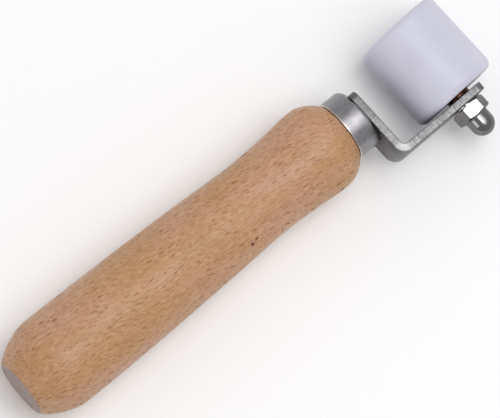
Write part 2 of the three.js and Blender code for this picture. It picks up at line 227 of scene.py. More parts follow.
def cubic(start, first, second, end, steps):
    """Points of a Bezier stretch, without its first point."""
    def at(t):
        weights = ((1 - t) ** 3, 3 * t * (1 - t) ** 2, 3 * t * t * (1 - t), t**3)
        points = (start, first, second, end)
        return tuple(sum(w * p[axis] for w, p in zip(weights, points)) for axis in (0, 1))

    return [at((i + 1) / steps) for i in range(steps)]


def eased(outline, radius, closed=False, steps=3):
    """The outline with every corner rounded, as far as its two sides allow."""
    count = len(outline)
    points = []
    for i, corner in enumerate(outline):
        here = Vector(corner)
        if not closed and i in (0, count - 1):
            points.append(here)
            continue
        before, after = Vector(outline[i - 1]) - here, Vector(outline[(i + 1) % count]) - here
        turn = before.angle(after)
        if turn > NEARLY_STRAIGHT:
            points.append(here)
            continue
        room = min(before.length, after.length) * CORNER_SHARE
        length = min(radius / math.tan(turn / 2), room)
        start, end = here + before.normalized() * length, here + after.normalized() * length
        for step in range(steps + 1):
            t = step / steps
            points.append(start * (1 - t) ** 2 + here * 2 * t * (1 - t) + end * t * t)
    return [tuple(p) for p in points]


def lathe(name, outline, place, turns=96, ring=False, reshape=None):
    """Turns an outline of (radius, height) about local Z. A ring's outline closes on itself, any
    other starts and ends on the axis. reshape may move a point, given radius, height and angle."""
    made = bmesh.new()
    rows = []
    for radius, height in outline:
        if radius < 1e-6:
            rows.append([made.verts.new((0, 0, height))] * turns)
            continue
        row = []
        for i in range(turns):
            angle = 2 * math.pi * i / turns
            r, h = reshape(radius, height, angle) if reshape else (radius, height)
            row.append(made.verts.new((r * math.cos(angle), r * math.sin(angle), h)))
        rows.append(row)
    pairs = list(zip(rows, rows[1:] + rows[:1] if ring else rows[1:]))
    for low, high in pairs:
        for i in range(turns):
            j = (i + 1) % turns
            corners = list(dict.fromkeys((low[i], low[j], high[j], high[i])))
            made.faces.new(corners)
    return finished(name, made, place)


def tube_outline(inner, outer, low, high):
    return [(inner, low), (outer, low), (outer, high), (inner, high)]


def cut_with(piece, *tools):
    """Cuts the tools out of the piece and removes them."""
    for tool in tools:
        step = piece.modifiers.new("cut", "BOOLEAN")
        step.object = tool
        step.solver = "EXACT"
    bpy.context.view_layer.update()
    cut = piece.evaluated_get(bpy.context.evaluated_depsgraph_get())
    piece.data = bpy.data.meshes.new_from_object(cut)
    piece.modifiers.clear()
    for tool in tools:
        bpy.data.objects.remove(tool)


def paint(piece, *materials, choose=None):
    """Gives the piece its materials. choose(centre, normal) picks one by index for each face; the
    centre is in millimetres in the row frame."""
    piece.data.materials.clear()
    for material in materials:
        piece.data.materials.append(material)
    if choose:
        for face in piece.data.polygons:
            face.material_index = choose(face.center / MM, face.normal)


def settle(piece, body, slot, *nodes):
    """Puts the piece on its body in place of its CAD nodes."""
    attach(piece, body)
    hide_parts(*nodes)


# --- Material helpers -------------------------------------------------------------------------------


class Look:
    """A procedural material built step by step. Every step returns a socket for the next."""

    def __init__(self, name, surface):
        self.material = bpy.data.materials.new(name)
        self.material.use_nodes = True
        self.tree = self.material.node_tree
        self.shader = self.tree.nodes["Principled BSDF"]
        for key, value in surface.items():
            self.shader.inputs[key].default_value = value

    def add(self, kind, inputs, output=0, **settings):
        node = self.tree.nodes.new("ShaderNode" + kind)
        for key, value in settings.items():
            setattr(node, key, value)
        for key, value in inputs.items():
            if isinstance(value, bpy.types.NodeSocket):
                self.tree.links.new(value, node.inputs[key])
            else:
                node.inputs[key].default_value = value
        return node.outputs[output]

    def drive(self, **sockets):
        """Links sockets to the shader's inputs."""
        for key, value in sockets.items():
            self.tree.links.new(value, self.shader.inputs[key.replace("_", " ").title()])

    def place(self, turn=0):
        """The piece's own coordinates in millimetres, turned about Z."""
        own = self.stretch(self.add("TexCoord", {}, "Object"), (1 / MM,) * 3)
        return self.add("VectorRotate", {"Vector": own, "Angle": turn}, rotation_type="Z_AXIS")

    def stretch(self, vector, scales):
        return self.add("VectorMath", {0: vector, 1: scales}, operation="MULTIPLY")

    def shift(self, vector, other):
        return self.add("VectorMath", {0: vector, 1: other})

    def noise(self, vector, detail=2, roughness=0.5, output="Fac"):
        inputs = {"Vector": vector, "Scale": 1, "Detail": detail, "Roughness": roughness}
        return self.add("TexNoise", inputs, output)

    def math(self, operation, a, b=0.0):
        return self.add("Math", {0: a, 1: b}, operation=operation)

    def span(self, value, low, high, to_low=0.0, to_high=1.0, kind="SMOOTHSTEP"):
        """Maps low..high to the new ends, level outside them."""
        inputs = {"Value": value, 1: low, 2: high, 3: to_low, 4: to_high}
        return self.add("MapRange", inputs, interpolation_type=kind)

    def mix(self, factor, a, b):
        """Blends two colours. A colour mix has its colours at inputs 6 and 7 and its result at 2."""
        return self.add("Mix", {0: factor, 6: a, 7: b}, 2, data_type="RGBA")

    def bump(self, height, depth):
        """depth is how many millimetres a height of 1 stands up."""
        return self.add("Bump", {"Height": height, "Distance": depth * MM, "Strength": 1.0})


def rgb(red, green, blue):
    return (red, green, blue, 1)


def marks(look, vector, cell, size, share):
    """Short lens-shaped marks, at most one in each cell; share is the part of the cells with one."""
    space = look.stretch(vector, tuple(1 / c for c in cell))
    found = look.add("TexVoronoi", {"Vector": space, "Scale": 1}, "Position")
    colour = look.add("TexVoronoi", {"Vector": space, "Scale": 1}, "Color")
    away = look.add("VectorMath", {0: space, 1: found}, operation="SUBTRACT")
    away = look.stretch(away, tuple(c / s for c, s in zip(cell, size)))
    distance = look.add("VectorMath", {0: away}, "Value", operation="LENGTH")
    shape = look.span(distance, 0.35, 1, 1, 0)
    strength = look.span(look.add("SeparateColor", {0: colour}), 1 - share, 1, 0, 1, "LINEAR")
    return look.math("MULTIPLY", shape, look.span(strength, 0, 0.15, 0, 1))


# --- Materials --------------------------------------------------------------------------------------

GRAIN_SLANT = math.radians(10)
# The tree's middle beside the handle's axis, and how fast the year rings follow each other
PITH = (0, 22, -46)
YEAR_RING_RATE = 2.1

# Small knots in the wood: distance from the butt, angle from the top towards the nut's side in
# degrees, radius along the grain, radius across it, and how dark they are.
KNOTS = [
    (79.6, 49.0, 0.66, 0.8, 0.97),
    (81.6, 46.5, 0.85, 0.42, 0.85),
    (62.7, 17.7, 0.55, 0.35, 0.55),
    (40.6, 11.1, 0.4, 0.35, 0.5),
    (105.7, 55.4, 0.8, 0.6, 0.3),
    (45.8, 26.0, 0.8, 0.28, 0.4),
    (50.2, 20.5, 0.9, 0.3, 0.35),
]


def handle_radius(x):
    """Radius of the handle at a distance from the butt, read off its curve."""
    curve = handle_curve()
    for (r0, x0), (r1, x1) in zip(curve, curve[1:]):
        if x0 <= x <= x1:
            return r0 + (r1 - r0) * (x - x0) / (x1 - x0)
    return curve[-1][0]


def knot_mask(look, vector):
    """1 inside the knots and 0 outside them."""
    total = None
    for x, angle, along, across, dark in KNOTS:
        radius, turn = handle_radius(x), math.radians(angle)
        middle = (x, -radius * math.sin(turn), radius * math.cos(turn))
        away = look.add("VectorMath", {0: vector, 1: middle}, operation="SUBTRACT")
        away = look.add("VectorRotate", {"Vector": away, "Angle": GRAIN_SLANT}, rotation_type="Z_AXIS")
        away = look.stretch(away, (1 / along, 1 / across, 1 / across))
        distance = look.add("VectorMath", {0: away}, "Value", operation="LENGTH")
        mask = look.span(distance, 0.4, 1.25, dark, 0)
        total = look.math("MAXIMUM", total, mask) if total else mask
    return total


def beech(name, end_grain=False):
    """Varnished beech: patches, year rings, fibres, dark pores along the grain and small knots."""
    look = Look(name, {"Coat Weight": 0.12, "Coat Roughness": 0.3, "Specular IOR Level": 0.32})
    upright = look.place()
    grain = look.add("VectorRotate", {"Vector": upright, "Angle": GRAIN_SLANT}, rotation_type="Z_AXIS")
    sway = look.noise(look.stretch(grain, (0.03, 0.07, 0.07)), 1, output="Color")
    sway = look.add(
        "VectorMath", {0: sway, 1: (0, 7, 5), 2: (0, -3.5, -2.5)}, operation="MULTIPLY_ADD"
    )
    grain = look.shift(grain, sway)

    patches = look.noise(look.stretch(grain, (0.035, 0.11, 0.11)), 3, 0.55)
    colour = look.mix(
        look.span(patches, 0.36, 0.64), rgb(0.475, 0.26, 0.118), rgb(0.515, 0.288, 0.175)
    )
    radial = look.stretch(look.shift(grain, tuple(-v for v in PITH)), (0, 1, 1))
    years = look.add("VectorMath", {0: radial}, "Value", operation="LENGTH")
    years = look.math("SINE", look.math("MULTIPLY", years, YEAR_RING_RATE))
    colour = look.mix(look.span(years, 0.1, 1, 0, 0.16), colour, rgb(0.36, 0.19, 0.09))

    fibre = look.noise(look.stretch(grain, (0.12, 2.6, 2.6)), 3, 0.6)
    colour = look.mix(look.span(fibre, 0.4, 0.68, 0, 0.2), colour, rgb(0.33, 0.175, 0.09))
    light = look.noise(look.stretch(grain, (0.45, 1.5, 1.5)), 2)
    colour = look.mix(look.span(light, 0.5, 0.7, 0, 0.38), colour, rgb(0.61, 0.385, 0.25))
    colour = look.mix(look.span(light, 0.5, 0.3, 0, 0.4), colour, rgb(0.33, 0.165, 0.075))

    fine = marks(look, grain, (2.3, 0.8, 4), (0.85, 0.18, 2.6), 0.9)
    bold = marks(look, grain, (5, 1.7, 5), (1.45, 0.23, 3), 0.8)
    flecks = look.math("MAXIMUM", look.math("MULTIPLY", fine, 0.68), look.math("MULTIPLY", bold, 0.95))
    colour = look.mix(look.math("MULTIPLY", flecks, 0.78), colour, rgb(0.235, 0.08, 0.018))
    knots = knot_mask(look, upright)
    colour = look.mix(knots, colour, rgb(0.06, 0.014, 0.003))
    if end_grain:
        # The end grain is darker than the side grain; its grey lavender tone also paints the shade on the
        # butt's flat face, which faces away from the lights.
        colour = look.mix(0.72, colour, rgb(0.25, 0.2, 0.205))
        colour = look.mix(look.span(years, -0.2, 0.9, 0, 0.4), colour, rgb(0.13, 0.09, 0.085))
        pores = look.noise(look.stretch(upright, (0, 3.4, 3.4)), 3, 0.7)
        colour = look.mix(look.span(pores, 0.5, 0.7, 0, 0.55), colour, rgb(0.11, 0.075, 0.07))

    sheen = look.noise(look.stretch(grain, (0.05, 0.3, 0.3)), 2)
    roughness = look.math("ADD", look.span(sheen, 0.3, 0.7, 0.4, 0.55), look.math("MULTIPLY", flecks, 0.2))
    hollow = look.math("MAXIMUM", look.math("MULTIPLY", flecks, 0.35), knots)
    grooves = look.math("SUBTRACT", look.math("MULTIPLY", fibre, 0.3), hollow)
    look.drive(base_color=colour, roughness=roughness, normal=look.bump(grooves, 0.12))
    return look.material


def brushed(name, colour, brushing, roughness=0.3, depth=0.01, contrast=0.4):
    """Bare metal with brush marks. brushing is how fast the marks change along each axis."""
    look = Look(name, {"Metallic": 1})
    own = look.place()
    lines = look.noise(look.stretch(own, brushing), 3, 0.65)
    cloud = look.noise(look.stretch(own, (0.16, 0.16, 0.16)), 3, 0.6)
    specks = marks(look, own, (1.6, 1.6, 1.6), (0.17, 0.12, 0.17), 0.35)
    dull = rgb(*((1 - contrast) * c for c in colour[:3]))
    bright = rgb(*((1 + contrast / 2) * c for c in colour[:3]))
    shade = look.mix(look.span(lines, 0.3, 0.7), dull, bright)
    shade = look.mix(look.span(cloud, 0.35, 0.7, 0, 0.35), shade, dull)
    shade = look.mix(look.math("MULTIPLY", specks, 0.5), shade, rgb(0.05, 0.045, 0.045))
    rough = look.span(lines, 0.3, 0.7, roughness - 0.06, roughness + 0.08)
    rough = look.math("ADD", rough, look.span(cloud, 0.4, 0.75, 0, 0.12))
    look.drive(base_color=shade, roughness=rough, normal=look.bump(lines, depth))
    return look.material


def sheared_edge(name):
    """The cut edge of the bar: cross marks left by the shear, lighter than the faces."""
    look = Look(name, {"Metallic": 1})
    strip = look.add("UVMap", {}, 0, uv_map="strip")
    strip = look.stretch(strip, (1 / MM,) * 3)
    cross = look.noise(look.stretch(strip, (2.2, 0.35, 1)), 3, 0.7)
    cloud = look.noise(look.stretch(strip, (0.22, 0.4, 1)), 2)
    shade = look.mix(look.span(cross, 0.35, 0.65), rgb(0.11, 0.108, 0.112), rgb(0.34, 0.334, 0.34))
    shade = look.mix(look.span(cloud, 0.4, 0.7, 0, 0.4), shade, rgb(0.12, 0.116, 0.12))
    along = look.add("SeparateXYZ", {0: strip})
    # Painted highlight: the edge is lighter round the middle of the bend, where the bent corner catches
    # the light.
    from_bend = look.math("ABSOLUTE", look.math("SUBTRACT", along, BEND_MIDDLE))
    painted_highlight = look.span(from_bend, 0.8, 3.2, 1, 0)
    shade = look.mix(painted_highlight, shade, rgb(0.35, 0.345, 0.35))
    # Painted shade: the edge darkens towards the foot's end, beside the ferrule.
    foot = look.span(along, FOOT_END, FOOT_END + ARM_INNER_FACE / 2, 0.45, 0)
    shade = look.mix(foot, shade, rgb(0.1, 0.098, 0.1))
    through = look.add("SeparateXYZ", {0: strip}, 1)
    seam = look.math("ABSOLUTE", look.math("SUBTRACT", through, BAR_THICKNESS * 0.55))
    shade = look.mix(look.span(seam, 0.05, 0.4, 0.18, 0), shade, rgb(0.06, 0.058, 0.06))
    rough = look.span(cross, 0.3, 0.7, 0.34, 0.52)
    look.drive(base_color=shade, roughness=rough, normal=look.bump(cross, 0.06))
    return look.material


def polished(name, colour):
    """Bright plated steel with faint wiping marks."""
    look = Look(name, {"Metallic": 1, "Specular Tint": rgb(0.65, 0.65, 0.65)})
    own = look.place()
    wipes = look.noise(look.stretch(own, (0.5, 2.4, 0.5)), 3, 0.6)
    haze = look.noise(look.stretch(own, (0.35, 0.35, 0.35)), 3, 0.55)
    dull = rgb(*(0.8 * c for c in colour[:3]))
    shade = look.mix(look.span(haze, 0.35, 0.7), colour, dull)
    rough = look.math("ADD", look.span(haze, 0.35, 0.7, 0.07, 0.16), look.span(wipes, 0.5, 0.75, 0, 0.05))
    look.drive(base_color=shade, roughness=rough, normal=look.bump(wipes, 0.004))
    return look.material


def white_ptfe(name, turn):
    """Turned white plastic: fine tool marks round the roller, faint handling marks. turn brings the
    roller's axis onto Y."""
    surface = {
        "Specular IOR Level": 0.35,
        "Subsurface Weight": 0.15,
        "Subsurface Scale": 0.6 * MM,
        "Subsurface Radius": (1, 0.9, 1),
    }
    look = Look(name, surface)
    own = look.place(turn)
    tool = look.noise(look.stretch(own, (0.05, 5.5, 0.05)), 2)
    cloud = look.noise(look.stretch(own, (0.09, 0.09, 0.09)), 3, 0.55)
    rubs = marks(look, own, (3, 3, 3), (0.28, 0.9, 0.28), 0.25)
    shade = look.mix(look.span(cloud, 0.35, 0.65), rgb(0.57, 0.565, 0.67), rgb(0.605, 0.6, 0.7))
    shade = look.mix(look.math("MULTIPLY", rubs, 0.12), shade, rgb(0.42, 0.41, 0.46))
    rough = look.math("ADD", look.span(cloud, 0.3, 0.7, 0.36, 0.46), look.math("MULTIPLY", rubs, 0.12))
    look.drive(base_color=shade, roughness=rough, normal=look.bump(tool, 0.012))
    return look.material


def pale_floor(name):
    """Nearly even matt white."""
    look = Look(name, {"Roughness": 0.8, "Specular IOR Level": 0.2})
    cloud = look.noise(look.stretch(look.place(), (0.004, 0.004, 0.004)), 2)
    look.drive(base_color=look.mix(cloud, rgb(0.93, 0.93, 0.93), rgb(0.955, 0.955, 0.955)))
    return look.material


# --- Handle, ferrule and tang -----------------------------------------------------------------------


def handle_curve():
    """Outline of the handle's free surface, from the flat butt to the ferrule."""
    steps = 20
    swell, waist = (SWELL_RADIUS, SWELL_X), (WAIST_RADIUS, WAIST_X)
    bulge, shoulder = (BULGE_RADIUS, BULGE_X), (SHOULDER_RADIUS, HANDLE_LENGTH)
    butt = (BUTT_FLAT_RADIUS, 0)
    return [
        butt,
        *cubic(butt, BUTT_EDGE, (SWELL_RADIUS, SWELL_X - 4.4), swell, steps),
        *cubic(swell, (SWELL_RADIUS, SWELL_X + 35), (WAIST_RADIUS, WAIST_X - 2), waist, steps),
        *cubic(waist, (WAIST_RADIUS, WAIST_X + 15.5), (BULGE_RADIUS, BULGE_X - 6), bulge, steps),
        *cubic(bulge, (BULGE_RADIUS, BULGE_X + 4.6), (11.6, HANDLE_LENGTH - 1.6), shoulder, steps),
    ]


def hand_sanded(radius, height, angle):
    """Slight waves cut by the sanding belt into the free surface of the handle, never outwards."""
    depth, highest = 0.05, 1.6
    free = 0 < height < HANDLE_LENGTH - 2 and radius > BUTT_FLAT_RADIUS
    wave = math.sin(2 * angle + height * 0.06) + 0.6 * math.sin(3 * angle - height * 0.11)
    return radius + depth * (wave - highest) * free, height


def handle():
    bore = TANG_RADIUS + GAP
    tenon = [
        (TENON_RADIUS, HANDLE_LENGTH),
        (TENON_RADIUS, TENON_END - FERRULE_CORNER / 2),
        (TENON_RADIUS - FERRULE_CORNER / 2, TENON_END),
        (bore, TENON_END),
        (bore, TANG_START),
        (0, TANG_START - TANG_RADIUS),
    ]
    butt = eased([(0, 0), (BUTT_FLAT_RADIUS, 0), BUTT_EDGE], 0.5)[:-1]
    rings = [(BUTT_FLAT_RADIUS * part, 0) for part in (0.3, 0.6, 0.85)]
    outline = [butt[0], *rings, *butt[1:], *handle_curve()[2:], *tenon]
    piece = lathe("turned_handle", outline, HANDLE_FRAME, 128, reshape=hand_sanded)
    paint(
        piece,
        beech("beech"),
        beech("beech_end_grain", end_grain=True),
        choose=lambda centre, normal: int(normal.x < -0.9 and centre.x < 1),
    )
    settle(piece, "handle_assembly", "handle", "handle")


def foot_seat():
    """The shape that the foot's seat takes out of the ferrule: the foot's outline, a little larger."""
    corner = BAR_CORNER + FIT
    top, side = FOOT_END + FIT - corner, BAR_WIDTH / 2 + FIT - corner
    outline = [
        (-BAR_WIDTH, -side - corner),
        *arc((top, -side), corner, -90, 0, 8),
        *arc((top, side), corner, 0, 90, 8),
        (-BAR_WIDTH, side + corner),
    ]
    made = bmesh.new()
    rows = [[made.verts.new((x, y, z)) for y, z in outline] for x in (0, 2 * SEAT_DEPTH)]
    made.faces.new(rows[0])
    made.faces.new(rows[1])
    for i in range(len(outline)):
        made.faces.new((rows[0][i - 1], rows[0][i], rows[1][i], rows[1][i - 1]))
    place = Matrix.Translation((SEAT_FLOOR, 0, 0)) @ Matrix.Rotation(FOOT_ANGLE, 4, "Z")
    return finished("foot_seat", made, place)


def ferrule():
    inner, corner = FERRULE_RADIUS - FERRULE_WALL, FERRULE_FACE - FERRULE_CORNER
    rim, hole = HANDLE_LENGTH + GAP, TANG_RADIUS + GAP
    ceiling, inner_corner = FERRULE_FACE - FERRULE_FRONT_WALL, FERRULE_CORNER - FERRULE_WALL
    centre = (FERRULE_RADIUS - FERRULE_CORNER, corner)

    def pressed(radius, height, angle):
        """Slants the front of the cup, so that it is square to the foot."""
        share = (height - rim) / (FERRULE_FACE - rim)
        return radius, height + share * FOOT_SLOPE * radius * math.sin(angle)

    lip = [(inner, rim + 1), (inner, rim), (FERRULE_RADIUS, rim), (FERRULE_RADIUS, rim + 1)]
    outline = [
        *eased(lip, FERRULE_RIM_ROUND),
        *arc(centre, FERRULE_CORNER, 0, 90, 10),
        (hole, FERRULE_FACE),
        (hole, ceiling),
        *arc((inner - inner_corner, ceiling - inner_corner), inner_corner, 90, 0, 5),
    ]
    piece = lathe("steel_ferrule", outline, HANDLE_FRAME, 112, ring=True, reshape=pressed)
    cut_with(piece, foot_seat())
    steel = brushed("ferrule_steel", rgb(0.298, 0.288, 0.304), (0.45, 0.7, 0.7), 0.31, 0.006, 0.16)
    # The back rim is painted a lighter steel: a painted highlight along the rim.
    painted_highlight = brushed("rim_highlight_steel", rgb(0.6, 0.56, 0.52), (0.45, 0.7, 0.7), 0.24, 0.006, 0.16)
    paint(piece, steel, painted_highlight, choose=lambda centre, normal: int(centre.x < rim + RIM_HIGHLIGHT_WIDTH))
    settle(piece, "handle_assembly", "ferrule", "ferrule")


def tang():
    face = FOOT_BACK + BAR_THICKNESS
    dent_depth, dent_radius = 0.09, 0.55
    chance = random.Random(4)
    dents = [(chance.uniform(0.6, 3.4), chance.uniform(0, 2 * math.pi)) for _ in range(14)]

    def peened(radius, height, angle):
        """Shallow hammer dents in the crown of the head."""
        if height <= face:
            return radius, height
        depth = 0
        for r, a in dents:
            aside = radius * math.cos(angle) - r * math.cos(a)
            above = radius * math.sin(angle) - r * math.sin(a)
            depth += dent_depth * math.exp(-((math.hypot(aside, above) / dent_radius) ** 2))
        return radius, height - depth

    angles = [math.radians(9 * i) for i in range(11)]
    crown = [(RIVET_HEAD_RADIUS * math.cos(a), face + RIVET_CROWN * math.sin(a)) for a in angles]
    outline = [
        (0, TANG_START),
        (TANG_RADIUS - 0.6, TANG_START + 2),
        (TANG_RADIUS, TANG_START + 8),
        (TANG_RADIUS, SEAT_FLOOR - GAP),
        (TANG_NECK_RADIUS, SEAT_FLOOR - GAP),
        (TANG_NECK_RADIUS, face - COUNTERSINK_DEPTH),
        *crown[:-1],
        (0, crown[-1][1]),
    ]
    piece = lathe("peened_tang", outline, HANDLE_FRAME, 72, reshape=peened)
    paint(piece, brushed("tang_steel", rgb(0.45, 0.44, 0.45), (1, 1, 1), 0.33, depth=0.02))
    settle(piece, "handle_assembly", "bar", "tang")


# --- Bracket ----------------------------------------------------------------------------------------


def bar_sections():
    """Cross sections from the foot's end to the arm's end: a point level with the centre of the
    bend's radius, the outward direction, the distance along the bar, the distance to the nearer
    end, and how much the section is in the bend, from 0 to 1."""
    back = Vector((-math.cos(BEND_OPENING), -math.sin(BEND_OPENING)))
    up = Vector((-math.sin(BEND_OPENING), math.cos(BEND_OPENING)))
    outer = BEND_INNER_RADIUS + BAR_THICKNESS
    centre_y = BEND_INNER_RADIUS - ARM_INNER_FACE
    centre = Vector(((outer + centre_y * back.y) / -back.x, centre_y))
    foot = (FOOT_END - centre_y) / math.cos(BEND_OPENING)
    arm = ARM_REACH - centre.x
    away_from_ends, bulge_length = 99, 2.6
    near_end = [0, 0.04, 0.12, 0.25] + [BAR_CORNER * (0.12 + 0.11 * i) for i in range(9)]
    sections = []
    for d in near_end + [3, 5, 8, 11, 14]:
        sections.append((centre + up * (foot - d), back, d, d))
    sweep = math.pi / 2 - BEND_OPENING
    turns = 14
    for i in range(turns + 1):
        angle = math.pi + BEND_OPENING + sweep * i / turns
        out = Vector((math.cos(angle), math.sin(angle)))
        sections.append((centre, out, foot + BEND_LENGTH * i / turns, away_from_ends))
    along_arm = [arm * 0.97 * (1 - i / 10) for i in range(1, 8)]
    for d in along_arm + near_end[::-1]:
        place, along = centre + Vector((arm - d, 0)), foot + BEND_LENGTH + arm - d
        sections.append((place, Vector((0, -1)), along, d))
    middle = foot + BEND_LENGTH / 2
    return [
        (place, out, along, end, math.exp(-(((along - middle) / bulge_length) ** 2)))
        for place, out, along, end in sections
    ]


def section_loop(end, bend):
    """Depth through the bar and offset across it, with broken edges. bend is 1 in the bend, where
    the inner side bulges and the outer side draws in."""
    edge, bulge = 0.28, 0.22
    trim = edge - math.sqrt(edge**2 - (edge - min(end, edge)) ** 2)
    round_off = BAR_CORNER - math.sqrt(BAR_CORNER**2 - (BAR_CORNER - min(end, BAR_CORNER)) ** 2)
    half = BAR_WIDTH / 2 - round_off
    corners = [((0, 1), (-1, 1)), ((1, 1), (1, 1)), ((1, -1), (1, -1)), ((0, -1), (-1, -1))]
    starts = [180, 90, 0, 270]
    loop = []
    for ((through, side), (t_sign, w_sign)), start in zip(corners, starts):
        swell = bulge * bend * (1 - 2 * through)
        middle_t = through * BAR_THICKNESS - t_sign * edge
        middle_w = side * (half + swell) - w_sign * edge
        for step in range(4):
            angle = math.radians(start - 30 * step)
            t = middle_t + (edge - trim) * math.cos(angle)
            w = middle_w + (edge - trim) * math.sin(angle)
            loop.append((t, w))
    return loop


def bar():
    """The bent bar. Its UV map "strip" holds the distance along the bar and the depth through it."""
    made = bmesh.new()
    strip = made.loops.layers.uv.new("strip")
    rings = []
    for centre, out, along, end, bend in bar_sections():
        loop = section_loop(end, bend)
        ring = []
        for t, w in loop:
            flat = centre + out * (BEND_INNER_RADIUS + t)
            ring.append((made.verts.new((flat.x, flat.y, w)), along * MM, t * MM))
        rings.append(ring)
    count = len(rings[0])
    for low, high in zip(rings, rings[1:]):
        for i in range(count):
            j = (i + 1) % count
            corners = (low[i], low[j], high[j], high[i])
            face = made.faces.new([c[0] for c in corners])
            for loop, corner in zip(face.loops, corners):
                loop[strip].uv = corner[1:]
    for ring in (rings[0], rings[-1]):
        face = made.faces.new([c[0] for c in ring])
        for loop, corner in zip(face.loops, ring):
            loop[strip].uv = (corner[0].co.z * MM, corner[2])
    return finished("steel_bracket", made, BRACKET_FRAME)


def bracket():
    piece = bar()
    beyond = 2
    hole = tube_outline(0, BOLT_RADIUS + TILT_GAP, -BAR_THICKNESS - beyond, beyond)
    slope = (RIVET_HEAD_RADIUS - TANG_NECK_RADIUS) / COUNTERSINK_DEPTH
    neck, face = TANG_NECK_RADIUS + GAP, FOOT_BACK + BAR_THICKNESS
    sink = [
        (0, FOOT_BACK - beyond),
        (neck, FOOT_BACK - beyond),
        (neck, face - COUNTERSINK_DEPTH),
        (neck + slope * (COUNTERSINK_DEPTH + beyond), face + beyond),
        (0, face + beyond),
    ]
    cut_with(
        piece,
        lathe("axle_hole", hole, AXLE_FRAME, 48),
        lathe("rivet_hole", sink, HANDLE_FRAME, 48),
    )
    paint(
        piece,
        brushed("bar_steel", rgb(0.148, 0.142, 0.148), (0.5, 0.5, 3.2), 0.36, depth=0.015),
        sheared_edge("bar_edge_steel"),
        choose=lambda centre, normal: int(abs(normal.z) > 0.6),
    )
    settle(piece, "handle_assembly", "bar", "bracket")


# --- Axle -------------------------------------------------------------------------------------------

HEX_FACE_RADIUS = HEX_ACROSS_FLATS / 2 - HEX_FACE_INSET
# Outline points at this radius become the edges of a hexagon
HEX_EDGE = HEX_FACE_RADIUS + 0.5


def hexagon(angle, turn):
    """Radius of a hexagon with slightly blunted corners; one corner is at the given turn."""
    from_corner = (angle - turn) % (math.pi / 3)
    radius = HEX_ACROSS_FLATS / 2 / math.cos(from_corner - math.pi / 6)
    return min(radius, HEX_ACROSS_FLATS / math.sqrt(3) - HEX_BLUNTING)


def hex_reshape(low, turn):
    """Turns an outline's two rings at HEX_EDGE into the curved lower and upper edges of a hexagon."""

    def reshape(radius, height, angle):
        if radius != HEX_EDGE:
            return radius, height
        radius = hexagon(angle, turn)
        drop = HEX_CHAMFER_SLOPE * (radius - HEX_FACE_RADIUS)
        return radius, height + (drop if height == low else -drop)

    return reshape


def acorn_nut():
    """A hexagon with a slimmer closed dome and a blind bore."""
    hex_top = NUT_BASE - NUT_HEX_HEIGHT
    dome = NUT_TIP + NUT_DOME_RADIUS
    bore, bore_end = BOLT_RADIUS + FIT, dome - BOLT_END_CHAMFER
    neck = [
        (NUT_DOME_RADIUS, dome + 0.1),
        (NUT_DOME_RADIUS, hex_top - NUT_NECK),
        (NUT_DOME_RADIUS + NUT_NECK, hex_top),
        (HEX_FACE_RADIUS, hex_top),
    ]
    outline = [
        (0, NUT_TIP),
        *arc((0, dome), NUT_DOME_RADIUS, -90, 0, 16)[1:],
        *eased(neck, 0.3),
        (HEX_EDGE, hex_top),
        (HEX_EDGE, NUT_BASE),
        (HEX_FACE_RADIUS, NUT_BASE),
        (bore + NUT_BORE_CHAMFER, NUT_BASE),
        (bore, NUT_BASE - NUT_BORE_CHAMFER),
        (bore, bore_end),
        (0, bore_end),
    ]
    reshape = hex_reshape(hex_top, NUT_TURN)
    piece = lathe("domed_nut", outline, AXLE_FRAME, 144, reshape=reshape)
    paint(piece, polished("nut_plate", rgb(0.205, 0.202, 0.21)))
    settle(piece, "handle_assembly", "polished", "acorn_nut")


def axle_bolt():
    """The bolt; its head has a shallow round dish in the top."""
    end = NUT_TIP + NUT_DOME_RADIUS
    dish_radius, dish_depth, dish_wall = HEX_FACE_RADIUS - 0.7, 0.15, 0.4
    outline = [
        (0, end),
        (BOLT_RADIUS - BOLT_END_CHAMFER, end),
        (BOLT_RADIUS, end + BOLT_END_CHAMFER),
        (BOLT_RADIUS, HEAD_BASE),
        (HEX_FACE_RADIUS, HEAD_BASE),
        (HEX_EDGE, HEAD_BASE),
        (HEX_EDGE, HEAD_TOP),
        (HEX_FACE_RADIUS, HEAD_TOP),
        (dish_radius, HEAD_TOP),
        (dish_radius - dish_wall, HEAD_TOP - dish_depth),
        (0, HEAD_TOP - dish_depth),
    ]
    reshape = hex_reshape(HEAD_BASE, HEAD_TURN)
    piece = lathe("hex_axle_bolt", outline, AXLE_FRAME, 144, reshape=reshape)
    paint(piece, polished("bolt_plate", rgb(0.5, 0.49, 0.5)))
    settle(piece, "handle_assembly", "polished", "axle_bolt")


def small_rings():
    """Washer, spacer and sleeve on the bolt."""
    bore, rounding = BOLT_RADIUS + FIT, 0.18
    spacer_top = ROLLER_TO_ARM + BEARING_SINK - GAP
    low, high = NEAR_BEARING + BEARING_WIDTH / 2 + GAP, FAR_BEARING - BEARING_WIDTH / 2 - GAP
    plate = polished("washer_plate", rgb(0.48, 0.47, 0.48))
    # Painted shade: the brass is nearly black, standing for the shade in the narrow gap between the roller
    # and the arm.
    brass = brushed("brass", rgb(0.07, 0.03, 0.017), (0.3, 6, 0.3), 0.2)
    pieces = [
        ("head_washer", WASHER_RADIUS, WASHER_BASE, WASHER_TOP, "polished", "bolt_washer", plate),
        ("brass_spacer", SPACER_RADIUS, GAP, spacer_top, "brass", "arm_spacer", brass),
        ("brass_sleeve", SLEEVE_RADIUS, low, high, "brass", "bearing_sleeve", brass),
    ]
    for name, radius, base, top, slot, node, material in pieces:
        outline = eased(tube_outline(bore, radius, base, top), rounding, closed=True)
        piece = lathe(name, outline, AXLE_FRAME, 72, ring=True)
        paint(piece, material)
        settle(piece, "handle_assembly", slot, node)


# --- Roller and bearings ----------------------------------------------------------------------------


